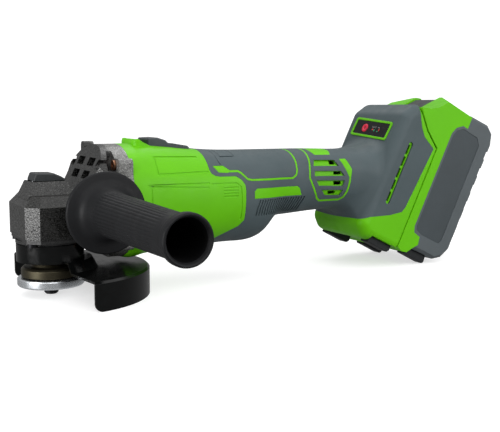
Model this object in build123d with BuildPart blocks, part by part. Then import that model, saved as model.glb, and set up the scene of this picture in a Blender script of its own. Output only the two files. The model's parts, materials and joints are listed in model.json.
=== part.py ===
from build123d import *
import math
import os

# Cordless angle grinder, millimetres.
# Frame: origin on the spindle axis at floor level, +X runs back along the motor
# and grip to the battery, +Y is the side away from the auxiliary handle, +Z up.

os.makedirs("parts", exist_ok=True)

# ---------------------------------------------------------------- driving dimensions
MOTOR_Z = 61.85          # height of the motor axis, also the bevel gears' apex
SPLIT_X = 46.5           # joint face between gear case and motor housing
WALL = 3.4               # wall of the plastic housings
COVER = 1.5              # thickness of the soft grip cover
TILT_DEG = 26.0          # lean of the foot and battery

SPINDLE_TIP_R = 4.75     # plain nose of the spindle
SPINDLE_THREAD_R = 6.9   # M14 thread
SPINDLE_SEAT_R = 5.96    # seat in the lower ball bearing
SPINDLE_TOP_R = 3.97     # journal in the upper bush
NUT_R, NUT_Z0, NUT_Z1 = 22.1, 6.9, 12.6
FLANGE_R, FLANGE_Z0, FLANGE_Z1 = 19.5, 13.2, 20.0

GUARD_R, GUARD_H, GUARD_T = 66.2, 19.2, 1.6
GUARD_A0, GUARD_A1 = -82.0, 98.0
COLLAR_R = 20.3          # neck of the bearing plate that carries the guard

HANDLE_X, HANDLE_Z = 24.0, 59.0
HANDLE_Y0, HANDLE_Y1 = -44.0, -170.0
HANDLE_FLANGE_R, HANDLE_R, HANDLE_TIP_R = 26.5, 12.9, 14.4
STUD_R = 4.0             # M8 handle stud
HANDLE_BORE_R = 4.05

GEAR_TEETH, PINION_TEETH = 28, 8
GEAR_PITCH_R, FACE = 17.2, 5.5

STATOR_R, STATOR_BORE = 24.5, 13.5
ROTOR_R = 13.0
SHAFT_R = 5.0

SWITCH_TRAVEL = 8.0
LOCK_X, LOCK_TRAVEL = -9.4, 3.8

CELL_R, CELL_L = 9.15, 65.0
CASE_SCREW_R = 36.5      # the four long screws on the gear case's flange corners
EAR_X, SCREW_SEAT_X = 36.8, 38.2

cp = math.cos(math.radians(TILT_DEG))
sp = math.sin(math.radians(TILT_DEG))
# tilted frame of the foot and battery: local x = s (outward), y = u (along the pack)
TILT = Plane(origin=(0, 0, 0), x_dir=(cp, 0, -sp), z_dir=(0, -1, 0))


def su(s, u):
    """X, Z of a point given in the tilted frame."""
    return (s * cp + u * sp, -s * sp + u * cp)


def su3(s, y, u):
    x, z = su(s, u)
    return (x, y, z)


def across(x):
    """Section plane square to X, local x = Y, local y = Z."""
    return Plane(origin=(x, 0, 0), x_dir=(0, 1, 0), z_dir=(1, 0, 0))


def save(piece, name):
    piece.label = name
    export_step(piece, "parts/" + name + ".step")


# ---------------------------------------------------------------- body sections
# X, top Z, bottom Z, half width, squareness of the section
STATIONS = [
    (46.5, 100.7, 23.0, 38.6, 2.25),
    (60.0, 100.7, 23.0, 38.4, 2.25),
    (80.0, 99.2, 24.2, 37.2, 2.3),
    (105.0, 96.4, 26.2, 35.6, 2.4),
    (128.0, 95.0, 27.4, 34.4, 2.5),
    (145.0, 94.8, 28.0, 33.4, 2.5),
    (156.0, 94.8, 33.0, 30.6, 2.5),
    (166.0, 94.8, 42.6, 27.2, 2.5),
    (176.0, 94.8, 44.6, 25.2, 2.5),
    (196.0, 94.7, 45.8, 24.4, 2.5),
    (216.0, 94.2, 46.6, 25.0, 2.5),
    (232.0, 93.8, 45.4, 27.4, 2.5),
    (246.0, 95.0, 40.0, 31.6, 2.6),
    (262.0, 98.0, 30.0, 34.6, 2.8),
]


def ring(top, bottom, half, n, t, count=20):
    zc, hh, w = (top + bottom) / 2, (top - bottom) / 2 - t, half - t
    out = []
    for i in range(count):
        a = 2 * math.pi * i / count
        c, s = math.cos(a), math.sin(a)
        out.append((w * math.copysign(abs(c) ** (2 / n), c),
                    zc + hh * math.copysign(abs(s) ** (2 / n), s)))
    return out


def barrel(t, x_end=None):
    """Motor housing and grip as one smooth body, shrunk by t."""
    with BuildPart() as b:
        for x, top, bottom, half, n in STATIONS:
            with BuildSketch(across(x)):
                with BuildLine():
                    Spline(*ring(top, bottom, half, n, t), periodic=True)
                make_face()
        loft()
    return b.part


def foot_block(t, s_back=233.0):
    """Foot of the grip, shrunk by t, with rounded front edges."""
    half = 36.0 - t
    pts = [(192 + t, 135 + 0.4 * t), (192 + t, 229.5 - 0.4 * t), (200 + 0.3 * t, 242.5 - t),
           (s_back, 244.5 - t), (s_back, 127.2 + t), (201 + 0.4 * t, 127.2 + t)]
    with BuildPart() as f:
        with BuildSketch(TILT):
            with BuildLine():
                Polyline(*pts, close=True)
            make_face()
        extrude(amount=half, both=True)
        front = [e for e in f.edges() if abs(e.tangent_at(0.5).Y) > 0.9
                 and e.center().X * cp - e.center().Z * sp < 206]
        fillet(front, 9.5 - t)
        sides = [e for e in f.edges() if abs(abs(e.center().Y) - half) < 0.01
                 and e.center().X * cp - e.center().Z * sp < s_back - 0.5]
        fillet(sides, 8.5 - t)
        # the battery's shoulder sits over the top rear corner
        with BuildSketch(TILT):
            with BuildLine():
                Polyline((203.8 - 0.4 * t, 241.5), (204.0 - 0.4 * t, 239.0 - t), (209.3 - 0.6 * t, 234.0 - t),
                         (218 - 0.6 * t, 226.6 - t), (234, 217.4 - t), (236, 250), (203.8 - 0.4 * t, 250), close=True)
            make_face()
        extrude(amount=60, both=True, mode=Mode.SUBTRACT)
        # step for the rubber pad
        with BuildSketch(TILT):
            with BuildLine():
                Polyline((206.8 - t, 120), (207.2 - t, 131.5 + t), (236, 131.5 + t), (236, 120), close=True)
            make_face()
        extrude(amount=60, both=True, mode=Mode.SUBTRACT)
    return f.part


skin = barrel(0)
skin_mid = barrel(COVER)
skin_in = barrel(WALL)
foot_out = foot_block(0)
# outer surface of grip and foot, with a soft blend where they meet
with BuildPart() as outer:
    add(skin)
    add(foot_out)
    fillet([e for e in outer.edges() if e.geom_type == GeomType.BSPLINE and 225 < e.position_at(0.5).X < 275], 13.0)
foot_mid = foot_block(COVER)
foot_in = foot_block(WALL, 218.4)

# rear outline of the bare motor housing, seen from the side (X, Z)
EDGE = [(104.0, 94.0), (104.2, 83.0), (105.3, 80.2), (108.0, 78.6), (111.5, 78.0), (124.4, 77.8),
        (128.8, 75.0), (131.2, 71.4), (131.6, 68.0), (131.4, 57.0), (130.8, 46.3), (126.8, 42.0),
        (121.1, 39.3), (115.7, 36.5), (111.9, 34.4), (106.5, 30.5), (104.0, 27.0)]

# soft cover seen from the side: everything behind EDGE up to the foot's bare rear rim
COVER_OUTLINE = ([(104.0, 112.0)] + EDGE + [(104.0, 10.0), (200.0, 10.0)]
                 + [su(180, 131), su(190, 137), su(198, 143.6), su(215, 152.3), su(224.6, 159),
                    su(226.2, 163.5), su(230.6, 216.8), su(218, 221.2), su(212, 226.4), su(208, 231.8),
                    su(204, 238.0), su(202.6, 246), su(192, 262)])

STRIPE_1 = [(118.5, 81.3), (126.9, 81.2), (129.4, 79.6), (133.7, 75.4), (137.0, 74.7), (176.2, 74.1),
            (179.4, 76.2), (180.6, 79.1), (180.9, 87.1), (180.2, 92.7), (179.6, 99.0)]
STRIPE_2 = [(194.4, 99.0), (194.0, 93.8), (193.2, 86.1), (192.3, 80.9), (191.8, 73.5), (199.4, 57.7),
            (202.3, 55.6), (219.6, 55.6), (223.2, 57.5), (225.6, 62.3), (227.4, 70.0), (227.8, 76.0)]
EMBLEM = [(107.6, 85.3), (116.0, 85.2), (120.8, 81.6), (118.4, 80.2), (111.3, 80.7)]
PATCH_TOP = [(198.5, 99.0), (198.8, 93.2), (200.6, 90.3), (214.6, 90.2), (217.0, 93.0), (217.2, 99.0)]
PATCH_SIDE = [(220.7, 87.0), (226.3, 87.1), (229.6, 79.2), (228.6, 73.9), (226.9, 73.0)]
PATCH_GRIP = [(138.7, 61.2), (138.7, 66.6), (141.1, 68.5), (180.8, 67.9), (182.8, 66.2), (184.8, 60.9)]
VENTS = [[(197.5, 86.7), (215.7, 86.4), (218.8, 81.8), (196.0, 82.3)],
         [(196.5, 78.6), (220.0, 78.0), (223.0, 74.2), (196.3, 74.7)],
         [(198.0, 71.4), (223.0, 70.6), (221.6, 66.4), (200.0, 67.3)],
         [(203.0, 63.9), (222.0, 63.3), (220.0, 59.2), (206.0, 59.8)]]

# clam-shell screws: X, Z and the Y of the seat under the head
SHELL_SCREWS = [(121.0, 37.0, 20.0), (188.0, 52.6, 12.5), su(204, 226) + (27.0,), su(209, 138.6) + (27.0,)]

with BuildPart() as housing_zone:
    with BuildSketch(Plane.XZ):
        with BuildLine():
            Polyline(*([(40.0, 112.0), (104.0, 112.0)] + EDGE + [(104.0, 10.0), (40.0, 10.0)]), close=True)
        make_face()
    extrude(amount=60, both=True)

with BuildPart() as cover_zone:
    with BuildSketch(Plane.XZ):
        with BuildLine():
            Polyline(*COVER_OUTLINE, close=True)
        make_face()
        for shape in (EMBLEM, PATCH_TOP, PATCH_SIDE, PATCH_GRIP):
            with BuildLine():
                Polyline(*shape, close=True)
            make_face(mode=Mode.SUBTRACT)
        with BuildLine():
            Polyline(*STRIPE_1)
        trace(line_width=1.5, mode=Mode.SUBTRACT)
        with BuildLine():
            Polyline(*STRIPE_2)
        trace(line_width=1.5, mode=Mode.SUBTRACT)
    extrude(amount=60, both=True)

with BuildPart() as strip_zone:
    with BuildSketch(TILT):
        with Locations(((207.8), 185.5)):
            SlotOverall(53.0, 4.0, rotation=90)
    extrude(amount=60, both=True)

with BuildPart() as vent_zone:
    with BuildSketch(Plane.XZ):
        for shape in VENTS:
            with BuildLine():
                Polyline(*shape, close=True)
            make_face()
    extrude(amount=60, both=True)

# moulded lines and slits in the housing and ribs on the soft cover, cut just below the surface (X, Z)
LINE_W, LINE_DEPTH, RIB_DEPTH = 1.0, 0.42, 0.9
HOUSING_LINES = [[(64.5, 92.0), (64.5, 81.0), (103.2, 81.6)], [(56.0, 74.2), (102.6, 73.8)],
                 [(58.2, 46.0), (58.2, 72.2), (59.2, 73.0), (101.8, 70.8)],
                 [(104.6, 73.2), (124.4, 72.9), (127.6, 70.2), (128.2, 58.8), (127.4, 47.0)],
                 [(64.5, 92.2), (98.0, 91.4)]]
HOUSING_SLITS = [70.0, 67.9, 65.9, 63.9]
COVER_LINES = [[(113.4, 99.0), (113.4, 88.0), (114.6, 85.6)], [(117.3, 99.0), (117.3, 91.0), (129.0, 91.0), (129.0, 99.0)]]
RIB_COUNT, RIB_PITCH = 19, 2.45

line_floor = barrel(LINE_DEPTH)
with BuildPart() as housing_lines:
    with BuildSketch(Plane.XZ):
        for path in HOUSING_LINES:
            with BuildLine():
                Polyline(*path)
            trace(line_width=LINE_W)
        for z in HOUSING_SLITS:
            with Locations((119.4, z)):
                Rectangle(11.6, LINE_W)
    extrude(amount=60, both=True)
    add(line_floor, mode=Mode.SUBTRACT)
with BuildPart() as cover_lines:
    with BuildSketch(Plane.XZ):
        for path in COVER_LINES:
            with BuildLine():
                Polyline(*path)
            trace(line_width=0.7)
    extrude(amount=60, both=True)
    add(line_floor, mode=Mode.SUBTRACT)
with BuildPart() as cover_ribs:
    with BuildSketch(Plane.XZ):
        for k in range(RIB_COUNT):
            x = 140.5 + RIB_PITCH * k
            with BuildLine():
                Polyline((x + 3.2, 59.9), (x + 0.6, 54.0), (x - 0.4, 48.5))
            trace(line_width=1.2)
    extrude(amount=60, both=True)
    add(barrel(RIB_DEPTH), mode=Mode.SUBTRACT)

# ---------------------------------------------------------------- motor housing
with BuildPart() as track_pad:
    add(skin)
    with BuildSketch(Plane.XY.offset(92.4)):
        with Locations((80.45, 0)):
            Rectangle(46.9, 30.0)
    extrude(amount=20, mode=Mode.INTERSECT)

with BuildPart() as stator_cup:
    with BuildSketch(across(62.0)):
        with Locations((0, MOTOR_Z)):
            Circle(STATOR_R + 2.0)
            Circle(STATOR_R, mode=Mode.SUBTRACT)
    extrude(amount=46.0)
    with BuildSketch(across(108.0)):
        with Locations((0, MOTOR_Z)):
            Circle(STATOR_R + 2.0)
            Circle(11.0, mode=Mode.SUBTRACT)
            with PolarLocations(18.2, 6):
                Circle(4.2, mode=Mode.SUBTRACT)
    extrude(amount=5.0)

with BuildPart() as bulkheads:
    add(skin_in)
    with BuildSketch(across(62.0)):
        Rectangle(120, 260)
    extrude(amount=4.0, mode=Mode.INTERSECT)
with BuildPart() as bulkhead_rear:
    add(skin_in)
    with BuildSketch(across(98.0)):
        Rectangle(120, 260)
    extrude(amount=4.0, mode=Mode.INTERSECT)

# low hood in front of the switch, running back along both sides of its track
with BuildPart() as switch_hood:
    with BuildSketch(Plane.XY.offset(92.0)):
        with Locations((67.5, 0)):
            RectangleRounded(25.0, 27.4, 5.0)
    extrude(amount=14.0)
    with BuildSketch(Plane.XZ):
        with BuildLine():
            Polyline((54.0, 93.0), (54.9, 101.0), (56.6, 104.0), (58.8, 104.2), (61.5, 102.2), (66.8, 99.6), (74.0, 97.6),
                     (80.0, 96.3), (80.0, 93.0), close=True)
        make_face()
    extrude(amount=20.0, both=True, mode=Mode.INTERSECT)
    # nothing of it stands inside the housing's wall
    add(skin_in, mode=Mode.SUBTRACT)

with BuildPart() as motor_housing:
    add(skin)
    add(skin_in, mode=Mode.SUBTRACT)
    add(housing_zone.part, mode=Mode.INTERSECT)
    add(track_pad.part)
    add(bulkheads.part)
    add(bulkhead_rear.part)
    with BuildSketch(across(61.0)):
        with Locations((0, MOTOR_Z)):
            Circle(STATOR_R + 1.0)
    extrude(amount=46.0, mode=Mode.SUBTRACT)
    # air ways through the bulkheads
    with BuildSketch(across(61.5)):
        with Locations((0, MOTOR_Z)):
            with PolarLocations(29.6, 10, start_angle=18):
                Circle(2.4)
    extrude(amount=41.5, mode=Mode.SUBTRACT)
    add(stator_cup.part)
    add(switch_hood.part)
    # flat track of the switch with its slot
    with BuildSketch(Plane.XY.offset(96.2)):
        with Locations((80.9, 0)):
            Rectangle(46.2, 20.4)
    extrude(amount=12, mode=Mode.SUBTRACT)
    with BuildSketch(Plane.XY.offset(88.3)):
        with Locations((81.0, 0)):
            Rectangle(21.6, 8.0)
        with Locations((100.0, 0)):
            Rectangle(20.0, 8.0)
    extrude(amount=3.2, mode=Mode.SUBTRACT)
    with BuildSketch(Plane.XY.offset(88.3)):
        with Locations((81.0, 0)):
            Rectangle(21.6, 8.0)
    extrude(amount=12, mode=Mode.SUBTRACT)
    # bosses and holes of the four screws from the gear case
    with BuildSketch(across(SPLIT_X)):
        with Locations((0, MOTOR_Z)):
            with PolarLocations(CASE_SCREW_R, 4, start_angle=45):
                Circle(3.3)
    extrude(amount=11)
    with BuildSketch(across(SPLIT_X)):
        with Locations((0, MOTOR_Z)):
            with PolarLocations(CASE_SCREW_R, 4, start_angle=45):
                Circle(1.7)
    extrude(amount=9, mode=Mode.SUBTRACT)
    add(housing_lines.part, mode=Mode.SUBTRACT)

save(motor_housing.part, "motor_housing")

# ---------------------------------------------------------------- grip shells and soft covers
with BuildPart() as cover_full:
    add(outer.part)
    add(skin_mid, mode=Mode.SUBTRACT)
    add(foot_mid, mode=Mode.SUBTRACT)
    add(cover_zone.part, mode=Mode.INTERSECT)

# control panel on the foot's front face, set slightly askew
PANEL_W, PANEL_H, PANEL_U, PANEL_TURN = 48.6, 16.0, 215.5, 4.6
pc, ps = math.cos(math.radians(PANEL_TURN)), math.sin(math.radians(PANEL_TURN))
PANEL = Plane(origin=su3(192.0, 0, PANEL_U), x_dir=(sp * ps, pc, cp * ps), z_dir=(-cp, 0, sp))
with BuildPart() as panel_hole:
    with BuildSketch(PANEL.offset(4.0)):
        RectangleRounded(PANEL_W, PANEL_H, 2.0)
    extrude(amount=-10.0)

with BuildPart() as rail_slot:
    with BuildSketch(TILT):
        with Locations((225.65, 205.0)):
            Rectangle(8.3, 128.0)
    extrude(amount=26.8, both=True)
    with BuildSketch(TILT):
        with Locations((232.0, 205.0)):
            Rectangle(6.0, 128.0)
    extrude(amount=22.3, both=True)

with BuildPart() as bosses:
    with BuildSketch(Plane.XZ):
        for x, z, y in SHELL_SCREWS:
            with Locations((x, z)):
                Circle(4.2)
        # shelf under the microswitch
        with Locations((130.5, 73.8)):
            Rectangle(17.0, 2.4)
    extrude(amount=60, both=True)
with BuildPart() as bosses_in:
    add(skin_in)
    add(foot_in)
    add(bosses.part, mode=Mode.INTERSECT)

with BuildPart() as shell_full:
    add(outer.part)
    add(skin_in, mode=Mode.SUBTRACT)
    add(foot_in, mode=Mode.SUBTRACT)
    add(housing_zone.part, mode=Mode.SUBTRACT)
    add(cover_full.part, mode=Mode.SUBTRACT)
    add(bosses_in.part)
    add(rail_slot.part, mode=Mode.SUBTRACT)
    # seat of the terminal block in the wall behind the rail slot
    with BuildSketch(TILT):
        with Locations((219.95, 153.0)):
            Rectangle(3.3, 14.0)
    extrude(amount=20.0, both=True, mode=Mode.SUBTRACT)
    # air inlets behind the grille and the foot's side strip
    with BuildSketch(Plane.XZ):
        for x0, x1, z0, z1 in ((211.5, 217.0, 82.8, 85.8), (214.0, 221.0, 75.2, 77.6),
                               (214.0, 220.8, 67.4, 70.2), (209.5, 216.2, 60.4, 62.8)):
            with Locations(((x0 + x1) / 2, (z0 + z1) / 2)):
                Rectangle(x1 - x0, z1 - z0)
    extrude(amount=60, both=True, mode=Mode.SUBTRACT)
    with BuildSketch(TILT):
        for k in range(5):
            with Locations((207.8, 165.3 + 10.1 * k)):
                Rectangle(1.9, 8.0)
    extrude(amount=60, both=True, mode=Mode.SUBTRACT)

with BuildPart() as cover_cut:
    add(cover_full.part)
    add(vent_zone.part, mode=Mode.SUBTRACT)
    add(strip_zone.part, mode=Mode.SUBTRACT)
    add(cover_lines.part, mode=Mode.SUBTRACT)
    add(cover_ribs.part, mode=Mode.SUBTRACT)

# holes of the clam-shell screws, with counterbores on the far side only
with BuildPart() as screw_seats:
    for x, z, y in SHELL_SCREWS:
        with BuildSketch(Plane.XZ.offset(-y)):
            with Locations((x, z)):
                Circle(3.2)
        extrude(amount=-40)
        with BuildSketch(Plane.XZ.offset(-y)):
            with Locations((x, z)):
                Circle(1.6)
        extrude(amount=y + 10.0)

with BuildPart() as shell_half:
    add(shell_full.part)
    split(bisect_by=Plane.XZ, keep=Keep.TOP)
with BuildPart() as handle_shell_left:
    add(shell_half.part)
    add(screw_seats.part, mode=Mode.SUBTRACT)
    add(panel_hole.part, mode=Mode.SUBTRACT)
with BuildPart() as handle_shell_right:
    mirror(shell_half.part, about=Plane.XZ)
    add(screw_seats.part, mode=Mode.SUBTRACT)
    add(panel_hole.part, mode=Mode.SUBTRACT)
with BuildPart() as cover_half:
    add(cover_cut.part)
    split(bisect_by=Plane.XZ, keep=Keep.TOP)
with BuildPart() as grip_cover_left:
    add(cover_half.part)
    add(panel_hole.part, mode=Mode.SUBTRACT)
with BuildPart() as grip_cover_right:
    mirror(cover_half.part, about=Plane.XZ)
    add(screw_seats.part, mode=Mode.SUBTRACT)
    add(panel_hole.part, mode=Mode.SUBTRACT)
save(handle_shell_left.part, "handle_shell_left")
save(handle_shell_right.part, "handle_shell_right")
save(grip_cover_left.part, "grip_cover_left")
save(grip_cover_right.part, "grip_cover_right")

# ---------------------------------------------------------------- gear case
HEAD = [(-21.6, -21.2), (-14.0, -29.0), (22.0, -29.0), (22.0, 29.0), (-14.0, 29.0), (-21.6, 21.2)]
PLATE_SCREWS = [(-17.0, -20.5), (-17.0, 20.5), (17.0, -20.5), (17.0, 20.5)]

with BuildPart() as gear_case:
    with BuildSketch(across(12.0)):
        with BuildLine():
            Spline(*ring(100.7, 23.0, 38.6, 2.25, 0), periodic=True)
        make_face()
    extrude(amount=SPLIT_X - 12.0)
    # leaning vent face above, slope below
    with BuildSketch(Plane.XZ):
        with BuildLine():
            Polyline((5, 66), (14.6, 66), (17.5, 72), (32.0, 101.5), (32.0, 115), (5, 115), close=True)
        make_face()
        with BuildLine():
            Polyline((5, 41), (22, 41), (38, 23), (38, 10), (5, 10), close=True)
        make_face()
    extrude(amount=60, both=True, mode=Mode.SUBTRACT)
    # slopes from the narrow head out to the flange
    with BuildSketch(Plane.XY):
        for k in (1, -1):
            with BuildLine():
                Polyline((5, 29 * k), (22, 29 * k), (34, 39.2 * k), (34, 50 * k), (5, 50 * k), close=True)
            make_face()
    extrude(amount=120, mode=Mode.SUBTRACT)
    # faceted head
    with BuildSketch(Plane.XY.offset(41.0)):
        with BuildLine():
            Polyline(*HEAD, close=True)
        make_face()
    extrude(amount=21.0)
    with BuildSketch(Plane.XY.offset(62.0)):
        with BuildLine():
            Polyline(*HEAD, close=True)
        make_face()
    extrude(amount=6.5, taper=42.7)
    # raised seat of the lock button
    with BuildSketch(Plane.XY.offset(66.0)):
        with Locations((-2.0, 0)):
            Rectangle(32.4, 28.4)
    extrude(amount=11.1, taper=21.8)
    # ridge over the pinion, between the seat and the vent face
    with BuildSketch(across(6.0)):
        with Locations((0, 66.0)):
            RectangleRounded(20.0, 10.6, 3.0)
    extrude(amount=16.0)
    # notches over the upper screws, between the dome and the flange
    for k in (1, -1):
        with BuildSketch(Plane.XZ.offset(k * 19.5)):
            with BuildLine():
                Polyline((30.0, 79.5), (30.0, 89.0), (33.6, 97.8), (EAR_X, 97.8), (EAR_X, 79.5), close=True)
            make_face()
        extrude(amount=k * 30.0, mode=Mode.SUBTRACT)
    # square ears of the flange and the lug by the far upper screw
    with BuildSketch(across(EAR_X)):
        with Locations((0, MOTOR_Z)):
            with Locations((27.3, 23.0), (27.3, -23.0), (-27.3, 23.0), (-27.3, -23.0)):
                RectangleRounded(15.6, 14.6, 3.2)
    extrude(amount=SPLIT_X - EAR_X)
    with BuildSketch(across(30.1)):
        with Locations((20.0, 96.0)):
            RectangleRounded(8.0, 12.0, 3.4)
    extrude(amount=7.0)
    # threaded bosses for the auxiliary handle, both sides
    with BuildSketch(Plane(origin=(HANDLE_X, -43.7, HANDLE_Z), x_dir=(1, 0, 0), z_dir=(0, 1, 0))):
        Circle(11.0)
    extrude(amount=87.4)
    # gear chamber, pinion way, bearing seat, fan chamber
    with BuildSketch(Plane.XY.offset(38.0)):
        Circle(19.2)
    extrude(amount=24.0, mode=Mode.SUBTRACT)
    with BuildSketch(across(0.0)):
        with Locations((0, MOTOR_Z)):
            Circle(7.2)
    extrude(amount=27.0, mode=Mode.SUBTRACT)
    with BuildSketch(across(26.9)):
        with Locations((0, MOTOR_Z)):
            Circle(13.0)
    extrude(amount=8.1, mode=Mode.SUBTRACT)
    with BuildSketch(across(34.9)):
        with Locations((0, MOTOR_Z)):
            Circle(7.0)
    extrude(amount=5.0, mode=Mode.SUBTRACT)
    with BuildSketch(across(38.5)):
        with Locations((0, MOTOR_Z)):
            Circle(32.2)
    extrude(amount=10.0, mode=Mode.SUBTRACT)
    # exhaust openings
    with BuildSketch(across(10.0)):
        for y in (-10.7, 10.7):
            for z in (80.8, 89.4):
                with Locations((y, z)):
                    Rectangle(12.8, 5.4)
    extrude(amount=30.0, mode=Mode.SUBTRACT)
    # recesses and holes of the four long screws
    with BuildSketch(across(24.0)):
        with Locations((0, MOTOR_Z)):
            with PolarLocations(CASE_SCREW_R, 4, start_angle=45):
                Circle(4.0)
    extrude(amount=SCREW_SEAT_X - 24.0, mode=Mode.SUBTRACT)
    with BuildSketch(across(SCREW_SEAT_X - 1.0)):
        with Locations((0, MOTOR_Z)):
            with PolarLocations(CASE_SCREW_R, 4, start_angle=45):
                Circle(1.9)
    extrude(amount=10.0, mode=Mode.SUBTRACT)
    # threaded holes of the handle
    for k in (1, -1):
        with BuildSketch(Plane(origin=(HANDLE_X, 43.8 * k, HANDLE_Z), x_dir=(1, 0, 0), z_dir=(0, -k, 0))):
            Circle(HANDLE_BORE_R)
        extrude(amount=18.3, mode=Mode.SUBTRACT)
    # upper bush, lock pin, spring pocket and button recess
    with BuildSketch(Plane.XY.offset(60.0)):
        Circle(6.0)
        with Locations((LOCK_X, 0)):
            Circle(2.5)
    extrude(amount=9.2, mode=Mode.SUBTRACT)
    with BuildSketch(Plane.XY.offset(66.0)):
        with Locations((LOCK_X, 0)):
            Circle(2.5)
    extrude(amount=14.0, mode=Mode.SUBTRACT)
    with BuildSketch(Plane.XY.offset(69.8)):
        with Locations((LOCK_X, 0)):
            Circle(4.4)
    extrude(amount=14.0, mode=Mode.SUBTRACT)
    with BuildSketch(Plane.XY.offset(73.3)):
        with Locations((-1.5, 0)):
            Rectangle(21.8, 17.8)
    extrude(amount=14.0, mode=Mode.SUBTRACT)
    # screw holes for the bearing plate
    with BuildSketch(Plane.XY.offset(40.0)):
        with Locations(*PLATE_SCREWS):
            Circle(1.9)
    extrude(amount=11.0, mode=Mode.SUBTRACT)
save(gear_case.part, "gear_case")

with BuildPart() as gear_case_screws:
    with BuildSketch(across(SCREW_SEAT_X - 2.8)):
        with Locations((0, MOTOR_Z)):
            with PolarLocations(CASE_SCREW_R, 4, start_angle=45):
                Circle(3.5)
    extrude(amount=2.8)
    with BuildSketch(across(SCREW_SEAT_X)):
        with Locations((0, MOTOR_Z)):
            with PolarLocations(CASE_SCREW_R, 4, start_angle=45):
                Circle(1.7)
    extrude(amount=16.8)
    with BuildSketch(across(SCREW_SEAT_X - 2.8)):
        with Locations((0, MOTOR_Z)):
            with PolarLocations(CASE_SCREW_R, 4, start_angle=45):
                RegularPolygon(1.9, 6)
    extrude(amount=1.6, mode=Mode.SUBTRACT)
save(gear_case_screws.part, "gear_case_screws")

# ---------------------------------------------------------------- bearing plate
with BuildPart() as bearing_plate:
    with BuildSketch(Plane.XY.offset(25.8)):
        Circle(COLLAR_R)
    extrude(amount=12.8)
    with BuildSketch(Plane.XY.offset(36.5)):
        Circle(22.6)
    extrude(amount=2.1)
    with BuildSketch(Plane.XY.offset(38.5)):
        with BuildLine():
            Polyline((-20.8, -20.9), (-13.6, -28.2), (20.5, -28.2), (20.5, 28.2), (-13.6, 28.2), (-20.8, 20.9), close=True)
        make_face()
    extrude(amount=2.5)
    with BuildSketch(Plane.XY.offset(40.9)):
        Circle(19.2)
    extrude(amount=2.0)
    with BuildSketch(Plane.XY.offset(25.0)):
        Circle(10.6)
    extrude(amount=20.0, mode=Mode.SUBTRACT)
    with BuildSketch(Plane.XY.offset(29.0)):
        Circle(16.0)
    extrude(amount=20.0, mode=Mode.SUBTRACT)
    with BuildSketch(Plane.XY.offset(38.0)):
        with Locations(*PLATE_SCREWS):
            Circle(1.9)
    extrude(amount=4.0, mode=Mode.SUBTRACT)
save(bearing_plate.part, "bearing_plate")

with BuildPart() as bearing_plate_screws:
    with BuildSketch(Plane.XY.offset(36.2)):
        with Locations(*PLATE_SCREWS):
            Circle(3.2)
    extrude(amount=2.3)
    with BuildSketch(Plane.XY.offset(38.5)):
        with Locations(*PLATE_SCREWS):
            Circle(1.9)
    extrude(amount=12.0)
    with BuildSketch(Plane.XY.offset(36.2)):
        with Locations(*PLATE_SCREWS):
            Rectangle(4.2, 0.9)
            Rectangle(0.9, 4.2)
    extrude(amount=1.2, mode=Mode.SUBTRACT)
save(bearing_plate_screws.part, "bearing_plate_screws")


def shielded_bearing(plane, bore, outer, width):
    """Shielded ball bearing: one ring with recessed shields on both faces."""
    with BuildPart() as b:
        with BuildSketch(plane):
            Circle(outer)
            Circle(bore, mode=Mode.SUBTRACT)
        extrude(amount=width)
        for k in (0, 1):
            with BuildSketch(plane.offset(width if k else 0)):
                Circle(outer - 0.22 * (outer - bore))
                Circle(bore + 0.22 * (outer - bore), mode=Mode.SUBTRACT)
            extrude(amount=-0.5 if k else 0.5, mode=Mode.SUBTRACT)
    return b.part


spindle_bearing = shielded_bearing(Plane.XY.offset(29.0), 6.0, 16.0, 10.0)
save(spindle_bearing, "spindle_bearing")
motor_front_bearing = shielded_bearing(Plane(origin=(27.0, 0, MOTOR_Z), x_dir=(0, 1, 0), z_dir=(1, 0, 0)), 5.0, 13.0, 8.0)
save(motor_front_bearing, "motor_front_bearing")
motor_rear_bearing = shielded_bearing(Plane(origin=(107.0, 0, MOTOR_Z), x_dir=(0, 1, 0), z_dir=(1, 0, 0)), 4.0, 11.0, 7.0)
save(motor_rear_bearing, "motor_rear_bearing")

with BuildPart() as spindle_bush:
    with BuildSketch(Plane.XY.offset(61.2)):
        Circle(6.0)
        Circle(4.0, mode=Mode.SUBTRACT)
    extrude(amount=8.0)
save(spindle_bush.part, "spindle_bush")

# ---------------------------------------------------------------- spindle, flanges, bevel gears
with BuildPart() as spindle:
    with BuildSketch(Plane.XZ):
        with BuildLine():
            Polyline((0, 0.6), (SPINDLE_TIP_R - 1.1, 0.6), (SPINDLE_TIP_R, 1.7), (SPINDLE_TIP_R, 7.6),
                     (SPINDLE_THREAD_R, 9.0), (SPINDLE_THREAD_R, 22.6), (9.5, 22.6), (9.5, 28.6),
                     (SPINDLE_SEAT_R, 28.6), (SPINDLE_SEAT_R, 42.0), (5.5, 42.0), (5.5, 56.0),
                     (SPINDLE_TOP_R, 56.0), (SPINDLE_TOP_R, 68.4), (SPINDLE_TOP_R - 0.7, 69.0), (0, 69.0), close=True)
        make_face()
    revolve(axis=Axis.Z)
    # two spanner flats on the nose
    for k in (1, -1):
        with BuildSketch(Plane.XY.offset(0.0)):
            with Locations((0, k * (SPINDLE_TIP_R + 0.2))):
                Rectangle(12, 1.2)
        extrude(amount=1.6, mode=Mode.SUBTRACT)
save(spindle.part, "spindle")

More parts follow.
